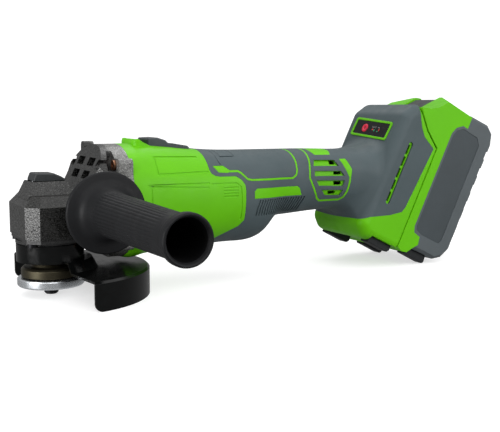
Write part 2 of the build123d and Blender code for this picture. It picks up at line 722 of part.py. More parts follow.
with BuildPart() as inner_flange:
    with BuildSketch(Plane.XZ):
        with BuildLine():
            Polyline((SPINDLE_THREAD_R, 11.2), (11.1, 11.2), (11.1, FLANGE_Z0), (FLANGE_R - 0.4, FLANGE_Z0),
                     (FLANGE_R, FLANGE_Z0 + 0.4), (FLANGE_R, FLANGE_Z1 - 1.6), (FLANGE_R - 1.6, FLANGE_Z1),
                     (13.0, FLANGE_Z1), (11.6, 22.6), (SPINDLE_THREAD_R, 22.6), close=True)
        make_face()
    revolve(axis=Axis.Z)
save(inner_flange.part, "inner_flange")

with BuildPart() as clamp_nut:
    with BuildSketch(Plane.XZ):
        with BuildLine():
            Polyline((SPINDLE_THREAD_R, 9.0), (SPINDLE_TIP_R + 2.9, NUT_Z0), (NUT_R - 0.9, NUT_Z0), (NUT_R, NUT_Z0 + 0.9),
                     (NUT_R, NUT_Z1 - 0.7), (NUT_R - 0.7, NUT_Z1), (11.6, NUT_Z1), (11.6, 10.9), (SPINDLE_THREAD_R, 10.9), close=True)
        make_face()
    revolve(axis=Axis.Z)
    with BuildSketch(Plane.XY.offset(NUT_Z0)):
        with PolarLocations(15.0, 4):
            Circle(2.5)
    extrude(amount=3.2, mode=Mode.SUBTRACT)
save(clamp_nut.part, "clamp_nut")

# straight bevel pair, apex on the two axes' crossing
RATIO = GEAR_TEETH / PINION_TEETH
PINION_PITCH_R = GEAR_PITCH_R / RATIO
CONE = math.hypot(GEAR_PITCH_R, PINION_PITCH_R)
INNER = (CONE - FACE) / CONE
MODULE = 2 * GEAR_PITCH_R / GEAR_TEETH
ADD, DED = 0.72 * MODULE, 1.0 * MODULE
HALF_T = math.pi * MODULE / 4 * 0.74
SLOPE = math.tan(math.radians(20))
GS, GC = GEAR_PITCH_R / CONE, PINION_PITCH_R / CONE


def tooth_section(scale, along, up, side):
    """Corner points of a tooth on the cone at one end, given the cone's directions."""
    pts = []
    for h, w in ((-DED - 0.3, HALF_T + (DED + 0.3) * SLOPE), (ADD, HALF_T - ADD * SLOPE)):
        for k in ((-1, 1) if h < 0 else (1, -1)):
            base = [scale * (CONE * a + h * u + k * w * s) for a, u, s in zip(along, up, side)]
            pts.append((base[0], base[1], base[2] + MOTOR_Z))
    return pts


def tooth(along, up, side, angle, axis):
    """One straight tooth, turned about the gear's axis."""
    outer, inner = tooth_section(1.0, along, up, side), tooth_section(INNER, along, up, side)
    faces = [Face(Wire.make_polygon([Vector(*p) for p in outer], close=True)),
             Face(Wire.make_polygon([Vector(*p) for p in inner], close=True))]
    body = Solid.make_loft([faces[0].outer_wire(), faces[1].outer_wire()], ruled=True)
    return body.rotate(axis, angle)


with BuildPart() as bevel_gear:
    with BuildSketch(Plane.XZ):
        with BuildLine():
            Polyline((5.5, 42.6), (9.0, 42.6), (16.0, 50.5),
                     (GEAR_PITCH_R - DED * GC, MOTOR_Z - PINION_PITCH_R - DED * GS),
                     (INNER * (GEAR_PITCH_R - DED * GC), MOTOR_Z - INNER * (PINION_PITCH_R + DED * GS)),
                     (7.0, MOTOR_Z - INNER * (PINION_PITCH_R + DED * GS)), (7.0, 56.0), (5.5, 56.0), close=True)
        make_face()
    revolve(axis=Axis.Z)
    with BuildSketch(Plane.XY.offset(53.0)):
        with PolarLocations(abs(LOCK_X), 4, start_angle=45):
            Circle(1.9)
    extrude(amount=8.0, mode=Mode.SUBTRACT)
    for i in range(GEAR_TEETH):
        add(tooth((GS, 0, -GC), (GC, 0, GS), (0, 1, 0), 360.0 * i / GEAR_TEETH, Axis.Z))
save(bevel_gear.part, "bevel_gear")

MOTOR_AXIS = Axis((0, 0, MOTOR_Z), (1, 0, 0))
with BuildPart() as bevel_pinion:
    with BuildSketch(Plane.XZ):
        with BuildLine():
            Polyline((INNER * (GEAR_PITCH_R + DED * GC), MOTOR_Z),
                     (INNER * (GEAR_PITCH_R + DED * GC), MOTOR_Z + INNER * (PINION_PITCH_R - DED * GS)),
                     (GEAR_PITCH_R + DED * GC, MOTOR_Z + PINION_PITCH_R - DED * GS),
                     (18.6, MOTOR_Z + PINION_PITCH_R - DED * GS), (18.6, MOTOR_Z + 6.0), (26.0, MOTOR_Z + 6.0),
                     (26.0, MOTOR_Z + 3.5), (19.4, MOTOR_Z + 3.5), (19.4, MOTOR_Z), close=True)
        make_face()
    revolve(axis=MOTOR_AXIS)
    for i in range(PINION_TEETH):
        add(tooth((GS, 0, -GC), (-GC, 0, -GS), (0, 1, 0), 360.0 * (i + 0.5) / PINION_TEETH, MOTOR_AXIS))
save(bevel_pinion.part, "bevel_pinion")

# ---------------------------------------------------------------- motor
with BuildPart() as rotor_shaft:
    with BuildSketch(Plane.XZ):
        with BuildLine():
            Polyline((19.4, MOTOR_Z), (19.4, MOTOR_Z + 3.5), (26.0, MOTOR_Z + 3.5), (26.0, MOTOR_Z + 4.96),
                     (37.0, MOTOR_Z + 4.96), (37.0, MOTOR_Z + SHAFT_R), (104.5, MOTOR_Z + SHAFT_R),
                     (104.5, MOTOR_Z + 3.96), (116.0, MOTOR_Z + 3.96), (116.0, MOTOR_Z), close=True)
        make_face()
    revolve(axis=MOTOR_AXIS)
save(rotor_shaft.part, "rotor_shaft")

with BuildPart() as rotor_core:
    with BuildSketch(across(64.0)):
        with Locations((0, MOTOR_Z)):
            Circle(ROTOR_R)
            Circle(SHAFT_R, mode=Mode.SUBTRACT)
            with PolarLocations(10.2, 4):
                Rectangle(2.2, 11.0, mode=Mode.SUBTRACT)
    extrude(amount=34.0)
save(rotor_core.part, "rotor_core")

with BuildPart() as rotor_magnets:
    with BuildSketch(across(64.5)):
        with Locations((0, MOTOR_Z)):
            with PolarLocations(10.2, 4):
                Rectangle(2.2, 11.0)
    extrude(amount=33.0)
save(rotor_magnets.part, "rotor_magnets")

with BuildPart() as cooling_fan:
    with BuildSketch(across(51.0)):
        with Locations((0, MOTOR_Z)):
            Circle(30.5)
            Circle(SHAFT_R, mode=Mode.SUBTRACT)
    extrude(amount=1.6)
    with BuildSketch(across(41.5)):
        with Locations((0, MOTOR_Z)):
            Circle(9.0)
            Circle(SHAFT_R, mode=Mode.SUBTRACT)
    extrude(amount=9.6)
    with BuildSketch(across(42.5)):
        with Locations((0, MOTOR_Z)):
            with PolarLocations(23.0, 11):
                Rectangle(13.0, 1.5, rotation=28)
    extrude(amount=8.6)
save(cooling_fan.part, "cooling_fan")

with BuildPart() as air_baffle:
    with BuildSketch(across(54.0)):
        with Locations((0, MOTOR_Z)):
            Circle(32.6)
            Circle(20.0, mode=Mode.SUBTRACT)
    extrude(amount=1.6)
save(air_baffle.part, "air_baffle")

with BuildPart() as stator_core:
    with BuildSketch(across(62.5)):
        with Locations((0, MOTOR_Z)):
            Circle(STATOR_R)
            Circle(STATOR_R - 4.0, mode=Mode.SUBTRACT)
            with PolarLocations(17.6, 6):
                Rectangle(7.4, 5.0)
            Circle(STATOR_BORE, mode=Mode.SUBTRACT)
    extrude(amount=37.0)
save(stator_core.part, "stator_core")

with BuildPart() as stator_windings:
    with BuildSketch(across(59.0)):
        with Locations((0, MOTOR_Z)):
            with PolarLocations(17.4, 6):
                Rectangle(5.0, 9.6)
    extrude(amount=44.0)
    with BuildSketch(across(62.5)):
        with Locations((0, MOTOR_Z)):
            with PolarLocations(17.4, 6):
                Rectangle(5.0, 5.0)
    extrude(amount=37.0, mode=Mode.SUBTRACT)
save(stator_windings.part, "stator_windings")

# ---------------------------------------------------------------- guard
with BuildPart() as guard:
    with BuildSketch(Plane.XZ):
        with BuildLine():
            Polyline((GUARD_R, 0), (GUARD_R, 17.8), (GUARD_R - 1.4, GUARD_H), (32.0, GUARD_H), (27.4, 25.6),
                     (20.8, 25.6), (20.8, 24.0), (26.6, 24.0), (31.2, GUARD_H - GUARD_T),
                     (GUARD_R - GUARD_T, GUARD_H - GUARD_T), (GUARD_R - GUARD_T, 0), close=True)
        make_face()
    revolve(axis=Axis.Z, revolution_arc=GUARD_A1 - GUARD_A0)
    ends = [e for e in guard.edges() if e.length < 2.0 and abs(e.center().Z) < 0.01]
    fillet(ends, 5.5)
with BuildPart() as guard_turned:
    add(guard.part.rotate(Axis.Z, GUARD_A0))
    with BuildSketch(Plane.XY.offset(24.0)):
        Circle(22.4)
        Circle(20.8, mode=Mode.SUBTRACT)
    extrude(amount=1.6)
save(guard_turned.part, "guard")

EAR = math.radians(60.0)
er, et = (math.cos(EAR), math.sin(EAR)), (-math.sin(EAR), math.cos(EAR))
EAR_PLANE = Plane(origin=(0, 0, 0), x_dir=(er[0], er[1], 0), z_dir=(et[0], et[1], 0))  # local y = -Z or Z
zs = 1 if EAR_PLANE.y_dir.Z > 0 else -1
with BuildPart() as guard_collar:
    with BuildSketch(Plane.XY.offset(25.6)):
        Circle(22.4)
        Circle(COLLAR_R + 0.06, mode=Mode.SUBTRACT)
    extrude(amount=10.2)
    for k in (1, -1):
        with BuildSketch(EAR_PLANE.offset(k * 3.0)):
            with Locations((26.2, zs * 31.0)):
                Rectangle(9.6, 8.4)
        extrude(amount=1.6, both=True)
    with BuildSketch(EAR_PLANE):
        with Locations((25.0, zs * 31.0)):
            Rectangle(14.0, 14.0)
    extrude(amount=1.4, both=True, mode=Mode.SUBTRACT)
    with BuildSketch(EAR_PLANE):
        with Locations((27.0, zs * 31.0)):
            Circle(2.4)
    extrude(amount=10, both=True, mode=Mode.SUBTRACT)
    with BuildSketch(Plane.XY.offset(25.0)):
        Circle(COLLAR_R + 0.06)
    extrude(amount=12.0, mode=Mode.SUBTRACT)
save(guard_collar.part, "guard_collar")

with BuildPart() as guard_clamp_screw:
    with BuildSketch(EAR_PLANE.offset(-6.6)):
        with Locations((27.0, zs * 31.0)):
            Circle(2.4)
    extrude(amount=16.0)
    with BuildSketch(EAR_PLANE.offset(-9.0)):
        with Locations((27.0, zs * 31.0)):
            Circle(4.1)
    extrude(amount=4.4)
    with BuildSketch(EAR_PLANE.offset(-9.0)):
        with Locations((27.0, zs * 31.0)):
            RegularPolygon(2.3, 6)
    extrude(amount=2.4, mode=Mode.SUBTRACT)
save(guard_clamp_screw.part, "guard_clamp_screw")

with BuildPart() as guard_clamp_nut:
    with BuildSketch(EAR_PLANE.offset(4.6)):
        with Locations((27.0, zs * 31.0)):
            RegularPolygon(4.3, 6)
            Circle(2.4, mode=Mode.SUBTRACT)
    extrude(amount=3.6)
save(guard_clamp_nut.part, "guard_clamp_nut")

# ---------------------------------------------------------------- auxiliary handle
HP = Plane(origin=(HANDLE_X, 0, HANDLE_Z), x_dir=(1, 0, 0), z_dir=(0, 0, 1))
HANDLE_AXIS = Axis((HANDLE_X, 0, HANDLE_Z), (0, 1, 0))
with BuildPart() as side_handle_grip:
    with BuildSketch(HP):
        with BuildLine():
            Polyline((9.0, HANDLE_Y0), (25.3, HANDLE_Y0), (26.3, HANDLE_Y0 - 0.8), (26.5, HANDLE_Y0 - 2.0), (25.6, HANDLE_Y0 - 3.6))
            Spline((25.6, HANDLE_Y0 - 3.6), (20.4, HANDLE_Y0 - 5.6), (16.6, HANDLE_Y0 - 9.4), (14.4, HANDLE_Y0 - 17.0))
            Polyline((14.4, HANDLE_Y0 - 17.0), (12.7, -156.0))
            Spline((12.7, -156.0), (13.0, -160.0), (14.2, -164.4))
            Polyline((14.2, -164.4), (14.4, -166.0), (14.4, -169.0), (13.7, HANDLE_Y1), (12.7, HANDLE_Y1), (11.6, -168.0),
                     (10.6, -160.0), (9.8, -72.0), (4.0, -72.0), (4.0, -46.4), (9.0, -46.4), (9.0, HANDLE_Y0))
        make_face()
    revolve(axis=HANDLE_AXIS)
save(side_handle_grip.part, "side_handle_grip")

with BuildPart() as side_handle_stud:
    with BuildSketch(HP):
        with BuildLine():
            Polyline((0, -29.0), (STUD_R - 0.9, -29.0), (STUD_R, -29.9), (STUD_R, -44.1), (9.0, -44.1), (9.0, -46.4),
                     (STUD_R, -46.4), (STUD_R, -72.0), (6.6, -72.0), (6.6, -77.0), (0, -77.0), close=True)
        make_face()
    revolve(axis=HANDLE_AXIS)
save(side_handle_stud.part, "side_handle_stud")

# ---------------------------------------------------------------- spindle lock
with BuildPart() as lock_button:
    with BuildSketch(Plane.XZ):
        with BuildLine():
            Polyline((-12.0, 77.4), (-12.0, 78.6), (-10.6, 82.0), (-9.3, 82.5), (1.8, 82.2), (6.0, 80.3), (9.0, 78.5), (9.0, 77.4), close=True)
        make_face()
    extrude(amount=8.5, both=True)
    side = [e for e in lock_button.edges() if abs(abs(e.center().Y) - 8.5) < 0.01 and e.center().Z > 79.0]
    chamfer(side, 0.8)
save(lock_button.part, "lock_button")

with BuildPart() as lock_pin:
    with BuildSketch(Plane.XY.offset(62.2)):
        with Locations((LOCK_X, 0)):
            Circle(2.2)
    extrude(amount=15.2)
save(lock_pin.part, "lock_pin")

with BuildPart() as lock_spring:
    with BuildLine():
        Helix(pitch=1.3, height=6.5, radius=3.3, center=(LOCK_X, 0, 70.35))
    with BuildSketch(Plane(origin=(LOCK_X + 3.3, 0, 70.35), x_dir=(1, 0, 0), z_dir=(0, 1, 0))):
        Circle(0.42)
    sweep()
save(lock_spring.part, "lock_spring")

# ---------------------------------------------------------------- slide switch
with BuildPart() as slide_switch:
    with BuildSketch(Plane.XZ):
        with BuildLine():
            Polyline((66.8, 96.6), (66.8, 103.4), (67.6, 104.5), (74.6, 104.8), (80.6, 102.9), (82.6, 101.0), (85.4, 100.8),
                     (97.4, 98.8), (98.8, 97.6), (98.8, 96.6), close=True)
        make_face()
    extrude(amount=9.6, both=True)
    top = [e for e in slide_switch.edges() if abs(abs(e.center().Y) - 9.6) < 0.01 and e.center().Z > 98.0]
    chamfer(top, 0.9)
    with BuildSketch(Plane.XZ):
        for k in range(4):
            with Locations((85.6 + 2.6 * k, 100.9 - 0.43 * k)):
                Rectangle(1.2, 2.2)
    extrude(amount=12, both=True, mode=Mode.SUBTRACT)
    with BuildSketch(Plane.XY.offset(90.9)):
        with Locations((85.0, 0)):
            Rectangle(10.0, 7.0)
    extrude(amount=6.0)
save(slide_switch.part, "slide_switch")

with BuildPart() as switch_rod:
    with BuildSketch(Plane.XY.offset(88.8)):
        with Locations((116.0, 0)):
            Rectangle(72.0, 6.0)
    extrude(amount=2.1)
    with BuildSketch(Plane.XY.offset(83.0)):
        with Locations((150.5, 0)):
            Rectangle(3.0, 6.0)
    extrude(amount=5.9)
save(switch_rod.part, "switch_rod")

with BuildPart() as microswitch:
    with BuildSketch(Plane.XY.offset(75.0)):
        with Locations((129.0, 0)):
            Rectangle(20.0, 12.0)
    extrude(amount=13.0)
    with BuildSketch(across(139.0)):
        with Locations((0, 85.0)):
            Circle(1.6)
    extrude(amount=1.6)
save(microswitch.part, "microswitch")

# ---------------------------------------------------------------- control panel and electronics in the foot
BTN = (8.8, 0.2)           # push button on the panel
LAMPS = [(-3.0, 0), (-9.0, 0), (-15.0, 0)]
FRONT = Plane(origin=su3(192.0, 0, 0), x_dir=(0, 1, 0), z_dir=(-cp, 0, sp))     # local x = Y, local y = +-u
us = 1 if FRONT.y_dir.Z > 0 else -1


def at_front(y, u):
    return (y, us * u)


with BuildPart() as control_panel_frame:
    with BuildSketch(PANEL.offset(0.9)):
        RectangleRounded(PANEL_W, PANEL_H, 2.0)
    extrude(amount=-4.0)
    with BuildSketch(PANEL.offset(0.9)):
        RectangleRounded(PANEL_W - 3.8, PANEL_H - 3.8, 1.2)
    extrude(amount=-2.0, mode=Mode.SUBTRACT)
    with BuildSketch(PANEL.offset(0.9)):
        with Locations(BTN):
            Circle(3.9)
    extrude(amount=-8.0, mode=Mode.SUBTRACT)
save(control_panel_frame.part, "control_panel_frame")

with BuildPart() as control_panel_face:
    with BuildSketch(PANEL.offset(-1.1)):
        RectangleRounded(PANEL_W - 3.8, PANEL_H - 3.8, 1.2)
        with Locations(BTN):
            Circle(3.9, mode=Mode.SUBTRACT)
        with Locations(*LAMPS):
            Rectangle(3.0, 5.0, mode=Mode.SUBTRACT)
    extrude(amount=1.3)
save(control_panel_face.part, "control_panel_face")

with BuildPart() as panel_lamps:
    with BuildSketch(PANEL.offset(-1.1)):
        with Locations(*LAMPS):
            Rectangle(3.0, 5.0)
    extrude(amount=1.2)
save(panel_lamps.part, "panel_lamps")

with BuildPart() as speed_button:
    with BuildSketch(PANEL.offset(0.7)):
        with Locations(BTN):
            Circle(3.55)
    extrude(amount=-5.0)
    with BuildSketch(PANEL.offset(-4.3)):
        with Locations(BTN):
            Circle(4.6)
    extrude(amount=-0.8)
save(speed_button.part, "speed_button")


def tilted_box(s0, s1, u0, u1, half):
    with BuildPart() as b:
        with BuildSketch(TILT):
            with Locations(((s0 + s1) / 2, (u0 + u1) / 2)):
                Rectangle(s1 - s0, u1 - u0)
        extrude(amount=half, both=True)
    return b.part


controller_tray = tilted_box(209.0, 218.4, 150.0, 208.0, 24.0)
with BuildPart() as controller:
    add(controller_tray)
    add(tilted_box(208.0, 216.6, 152.0, 206.0, 22.0), mode=Mode.SUBTRACT)
save(controller.part, "controller_tray")
with BuildPart() as controller_board:
    add(tilted_box(213.6, 215.2, 152.0, 206.0, 22.0))
    add(tilted_box(209.4, 213.6, 158.0, 170.0, 16.0))
    add(tilted_box(207.0, 213.6, 184.0, 192.0, 5.0))
save(controller_board.part, "controller_board")

with BuildPart() as terminal_block:
    add(tilted_box(218.4, 221.5, 146.0, 160.0, 20.0))
    add(tilted_box(221.5, 229.0, 141.0, 145.6, 20.0))
save(terminal_block.part, "terminal_block")
with BuildPart() as terminal_blades:
    for y in (-13.5, -4.5, 4.5, 13.5):
        with BuildSketch(TILT.offset(-y)):
            with Locations((225.6, 153.8)):
                Rectangle(4.4, 16.4)
        extrude(amount=0.4, both=True)
save(terminal_blades.part, "terminal_blades")

with BuildPart() as foot_pad:
    for k in (1, -1):
        with BuildSketch(TILT.offset(k * 22.0)):
            with BuildLine():
                Polyline((207.6, 131.5), (207.4, 125.8), (228.6, 125.4), (230.6, 127.6), (230.6, 131.5), close=True)
            make_face()
        extrude(amount=k * 10.0)
    chamfer(foot_pad.edges().filter_by(Axis.Y).sort_by(Axis.Z)[:2], 0.6)
save(foot_pad.part, "foot_pad")

with BuildPart() as shell_screws:
    for x, z, y in SHELL_SCREWS:
        with BuildSketch(Plane.XZ.offset(-y)):
            with Locations((x, z)):
                Circle(2.9)
        extrude(amount=-2.2)
        with BuildSketch(Plane.XZ.offset(-y)):
            with Locations((x, z)):
                Circle(1.6)
        extrude(amount=y + 9.0)
        with BuildSketch(Plane.XZ.offset(-y - 2.2)):
            with Locations((x, z)):
                RegularPolygon(1.5, 6)
        extrude(amount=1.4, mode=Mode.SUBTRACT)
save(shell_screws.part, "shell_screws")

# ---------------------------------------------------------------- battery pack
UPPER = [(204.2, 240.9), (212.0, 243.6), (219.0, 247.6), (233.6, 264.4), (238.0, 265.9), (250.0, 262.6), (255.5, 258.0),
         (255.5, 246.5), (250.0, 246.5), (244.0, 242.0), (241.5, 236.0), (241.5, 154.0), (243.5, 149.2), (250.5, 148.0),
         (252.0, 141.5), (247.5, 136.8), (243.6, 131.8), (238.4, 130.8), (233.5, 132.6), (233.5, 218.8), (218.6, 227.2), (210.0, 234.6),
         (204.6, 239.6)]
LOWER = [(241.5, 154.0), (243.5, 149.2), (250.5, 148.0), (252.0, 141.5), (247.5, 136.8), (262.0, 137.4), (273.0, 137.2),
         (280.6, 141.8), (285.6, 151.0), (286.8, 246.0), (283.6, 255.0), (276.0, 259.3), (255.5, 258.0), (255.5, 246.5),
         (250.0, 246.5), (244.0, 242.0), (241.5, 236.0)]
LABEL = [(244.6, 152.0), (251.0, 150.2), (271.5, 150.6), (273.4, 154.0), (273.4, 239.5), (268.5, 244.6), (251.0, 244.6),
         (245.6, 240.4), (243.4, 235.0), (243.4, 155.0)]
PACK_HALF = 36.8

with BuildPart() as battery_upper_case:
    with BuildSketch(TILT):
        with BuildLine():
            Polyline(*UPPER, close=True)
        make_face()
    extrude(amount=PACK_HALF, both=True)
    # crowned end
    for k in (1, -1):
        with BuildSketch(FRONT):
            with BuildLine():
                Polyline(*[at_front(k * y, u) for y, u in ((PACK_HALF + 0.1, 256.6), (42.0, 256.6), (42.0, 272.0), (14.1, 272.0), (14.1, 266.0))], close=True)
            make_face()
        extrude(amount=-70.0, mode=Mode.SUBTRACT)
    # room for the board under the deck
    with BuildSketch(TILT):
        with Locations((239.4, 192.0)):
            Rectangle(6.0, 100.0)
    extrude(amount=33.6, both=True, mode=Mode.SUBTRACT)
    with BuildSketch(TILT):
        with Locations((241.0, 196.0)):
            Rectangle(3.0, 80.0)
    extrude(amount=34.6, both=True, mode=Mode.SUBTRACT)
    # well of the release button, open on the slope
    with BuildSketch(TILT):
        with BuildLine():
            Polyline((207.6, 252.0), (214.0, 237.6), (226.85, 237.6), (249.6, 257.13), (249.6, 275.0), (206.0, 275.0), close=True)
        make_face()
    extrude(amount=14.2, both=True, mode=Mode.SUBTRACT)
    # sliding rail
    add(tilted_box(222.0, 229.3, 146.0, 214.0, 26.2))
    add(tilted_box(229.0, 234.2, 146.0, 214.0, 21.9))
    # contact slots, open towards the foot's closed end
    for y in (-13.5, -4.5, 4.5, 13.5):
        with BuildSketch(TILT.offset(-y)):
            with Locations((226.0, 154.0)):
                Rectangle(10.0, 20.0)
        extrude(amount=2.2, both=True, mode=Mode.SUBTRACT)
save(battery_upper_case.part, "battery_upper_case")

with BuildPart() as battery_lower_case:
    with BuildSketch(TILT):
        with BuildLine():
            Polyline(*LOWER, close=True)
        make_face()
    extrude(amount=PACK_HALF, both=True)
    rim = [e for e in battery_lower_case.edges() if abs(abs(e.center().Y) - PACK_HALF) < 0.01
           and e.center().X * cp - e.center().Z * sp > 257.0]
    chamfer([e for e in rim if e.length > 5], 2.4)
    with BuildSketch(TILT):
        with Locations((262.0, 197.5)):
            Rectangle(39.6, 104.0)
    extrude(amount=33.4, both=True, mode=Mode.SUBTRACT)
    for k in (1, -1):
        with BuildSketch(TILT.offset(k * (PACK_HALF - 1.0))):
            with BuildLine():
                Polyline(*LABEL, close=True)
            make_face()
        extrude(amount=k * 4.0, mode=Mode.SUBTRACT)
    # finger scallops along the outer edges
    for k in (1, -1):
        for j in range(6):
            with BuildSketch(TILT.offset(k * PACK_HALF)):
                with Locations((287.0, 160.0 + 15.2 * j)):
                    Rectangle(7.2, 8.0)
            extrude(amount=-k * 9.0, mode=Mode.SUBTRACT)
save(battery_lower_case.part, "battery_lower_case")

with BuildPart() as battery_side_panels:
    for k in (1, -1):
        with BuildSketch(TILT.offset(k * (PACK_HALF - 1.0))):
            with BuildLine():
                Polyline(*LABEL, close=True)
            make_face()
        extrude(amount=k * 0.7)
save(battery_side_panels.part, "battery_side_panels")

CELLS = [(s, 160.0 + 18.75 * j) for s in (253.2, 271.8) for j in range(5)]
with BuildPart() as battery_cells:
    with BuildSketch(TILT):
        with Locations(*CELLS):
            Circle(CELL_R)
    extrude(amount=CELL_L / 2, both=True)
save(battery_cells.part, "battery_cells")

with BuildPart() as cell_holders:
    for k in (1, -1):
        with BuildSketch(TILT.offset(k * 18.0)):
            with BuildLine():
                Polyline((242.7, 152.0), (242.7, 236.5), (245.5, 242.0), (250.5, 245.2), (281.5, 245.2), (281.5, 150.0),
                         (244.5, 150.0), close=True)
            make_face()
            with Locations(*CELLS):
                Circle(CELL_R, mode=Mode.SUBTRACT)
        extrude(amount=k * 10.0)
save(cell_holders.part, "cell_holders")

with BuildPart() as battery_board:
    add(tilted_box(239.2, 240.8, 150.0, 240.0, 30.0))
    add(tilted_box(236.6, 239.2, 196.0, 212.0, 12.0))
save(battery_board.part, "battery_board")

with BuildPart() as battery_contacts:
    for y in (-13.5, -4.5, 4.5, 13.5):
        for k in (1, -1):
            with BuildSketch(TILT.offset(-y + k * 1.5)):
                with Locations((226.4, 155.0)):
                    Rectangle(5.0, 14.0)
            extrude(amount=k * 0.7)
save(battery_contacts.part, "battery_contacts")

with BuildPart() as battery_bumper:
    for k in (1, -1):
        with BuildSketch(TILT.offset(k * 23.0)):
            with BuildLine():
                Polyline((247.6, 136.81), (245.75, 134.36), (245.4, 130.7), (267.3, 130.42), (268.6, 132.0), (267.8, 137.28),
                         (262.0, 137.4), close=True)
            make_face()
        extrude(amount=k * 9.0)
save(battery_bumper.part, "battery_bumper")

# ---------------------------------------------------------------- battery release button
with BuildPart() as release_button:
    with BuildSketch(TILT):
        with BuildLine():
            Polyline((214.6, 240.4), (225.4, 240.4), (246.6, 258.6), (246.6, 261.6), (238.2, 263.8), (233.4, 262.4),
                     (218.6, 245.6), (213.4, 242.8), close=True)
        make_face()
    extrude(amount=13.7, both=True)
save(release_button.part, "release_button")
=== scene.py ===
import bpy
import bmesh
import json
import math
from mathutils import Matrix, Vector


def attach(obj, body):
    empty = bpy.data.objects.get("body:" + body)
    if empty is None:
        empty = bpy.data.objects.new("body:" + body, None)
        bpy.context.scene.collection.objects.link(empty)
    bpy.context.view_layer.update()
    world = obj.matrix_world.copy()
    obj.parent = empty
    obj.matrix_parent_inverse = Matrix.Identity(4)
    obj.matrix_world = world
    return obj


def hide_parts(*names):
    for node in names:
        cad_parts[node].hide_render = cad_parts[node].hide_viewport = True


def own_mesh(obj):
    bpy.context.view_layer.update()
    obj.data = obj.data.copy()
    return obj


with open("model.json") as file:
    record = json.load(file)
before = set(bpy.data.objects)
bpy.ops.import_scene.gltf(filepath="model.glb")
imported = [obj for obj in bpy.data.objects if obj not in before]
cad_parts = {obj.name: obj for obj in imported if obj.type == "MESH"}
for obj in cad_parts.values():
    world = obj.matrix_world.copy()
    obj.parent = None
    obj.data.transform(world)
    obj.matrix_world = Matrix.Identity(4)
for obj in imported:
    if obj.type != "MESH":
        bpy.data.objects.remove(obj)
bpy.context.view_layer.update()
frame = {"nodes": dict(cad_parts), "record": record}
NODES = frame["nodes"]
SC = bpy.context.scene
MM = 0.001

# ------------------------------------------------------------------ camera
YAW, PITCH, ROLL = math.radians(29.16), math.radians(7.46), math.radians(0.31)
fwd = Vector((math.sin(YAW) * math.cos(PITCH), math.cos(YAW) * math.cos(PITCH), -math.sin(PITCH)))
right = Vector((math.cos(YAW), -math.sin(YAW), 0.0))
up = right.cross(fwd)
r2 = math.cos(ROLL) * right + math.sin(ROLL) * up
u2 = -math.sin(ROLL) * right + math.cos(ROLL) * up
cam_data = bpy.data.cameras.new("camera")
cam_data.sensor_fit = "HORIZONTAL"
cam_data.sensor_width = 36.0
cam_data.lens = 816.14 / 500.0 * 36.0
cam_data.clip_start, cam_data.clip_end = 0.01, 50.0
cam = bpy.data.objects.new("camera", cam_data)
SC.collection.objects.link(cam)
m = Matrix((r2, u2, -fwd)).transposed().to_4x4()
m.translation = Vector((-146.68, -538.34, 124.76)) * MM
cam.matrix_world = m
SC.camera = cam


# ------------------------------------------------------------------ material helpers
def ramp(nt, fac, stops, interp="LINEAR"):
    n = nt.nodes.new("ShaderNodeValToRGB")
    n.color_ramp.interpolation = interp
    e = n.color_ramp.elements
    while len(e) < len(stops):
        e.new(0.5)
    for k, (pos, col) in enumerate(stops):
        e[k].position = pos
        e[k].color = (col[0], col[1], col[2], 1.0)
    nt.links.new(fac, n.inputs["Fac"])
    return n.outputs["Color"]


def noise(nt, co, scale, detail=4.0, rough=0.55, dist=0.0):
    n = nt.nodes.new("ShaderNodeTexNoise")
    n.inputs["Scale"].default_value = scale
    n.inputs["Detail"].default_value = detail
    n.inputs["Roughness"].default_value = rough
    n.inputs["Distortion"].default_value = dist
    nt.links.new(co, n.inputs["Vector"])
    return n.outputs["Fac"]


def stretch(nt, co, scale, rotation=(0.0, 0.0, 0.0)):
    n = nt.nodes.new("ShaderNodeMapping")
    n.inputs["Scale"].default_value = scale
    n.inputs["Rotation"].default_value = rotation
    nt.links.new(co, n.inputs["Vector"])
    return n.outputs["Vector"]


def remap(nt, fac, lo, hi, a=0.3, b=0.7):
    n = nt.nodes.new("ShaderNodeMapRange")
    n.inputs["From Min"].default_value = a
    n.inputs["From Max"].default_value = b
    n.inputs["To Min"].default_value = lo
    n.inputs["To Max"].default_value = hi
    nt.links.new(fac, n.inputs["Value"])
    return n.outputs["Result"]


def math_node(nt, op, a, b):
    n = nt.nodes.new("ShaderNodeMath")
    n.operation = op
    for k, v in enumerate((a, b)):
        if isinstance(v, (int, float)):
            n.inputs[k].default_value = v
        else:
            nt.links.new(v, n.inputs[k])
    return n.outputs[0]


def mix_color(nt, fac, a, b):
    n = nt.nodes.new("ShaderNodeMix")
    n.data_type = "RGBA"
    nt.links.new(fac, n.inputs[0])
    for sock, v in ((n.inputs[6], a), (n.inputs[7], b)):
        if isinstance(v, tuple):
            sock.default_value = (v[0], v[1], v[2], 1.0)
        else:
            nt.links.new(v, sock)
    return n.outputs[2]


def bump(nt, height, strength, distance, normal=None):
    n = nt.nodes.new("ShaderNodeBump")
    n.inputs["Strength"].default_value = strength
    n.inputs["Distance"].default_value = distance
    nt.links.new(height, n.inputs["Height"])
    if normal is not None:
        nt.links.new(normal, n.inputs["Normal"])
    return n.outputs["Normal"]


def shade(c, k):
    return tuple(min(1.0, max(0.0, v * k)) for v in c[:3])


def start(name):
    mt = bpy.data.materials.new(name)
    mt.use_nodes = True
    nt = mt.node_tree
    bs = nt.nodes["Principled BSDF"]
    tc = nt.nodes.new("ShaderNodeTexCoord")
    return mt, nt, bs, tc.outputs["Object"]


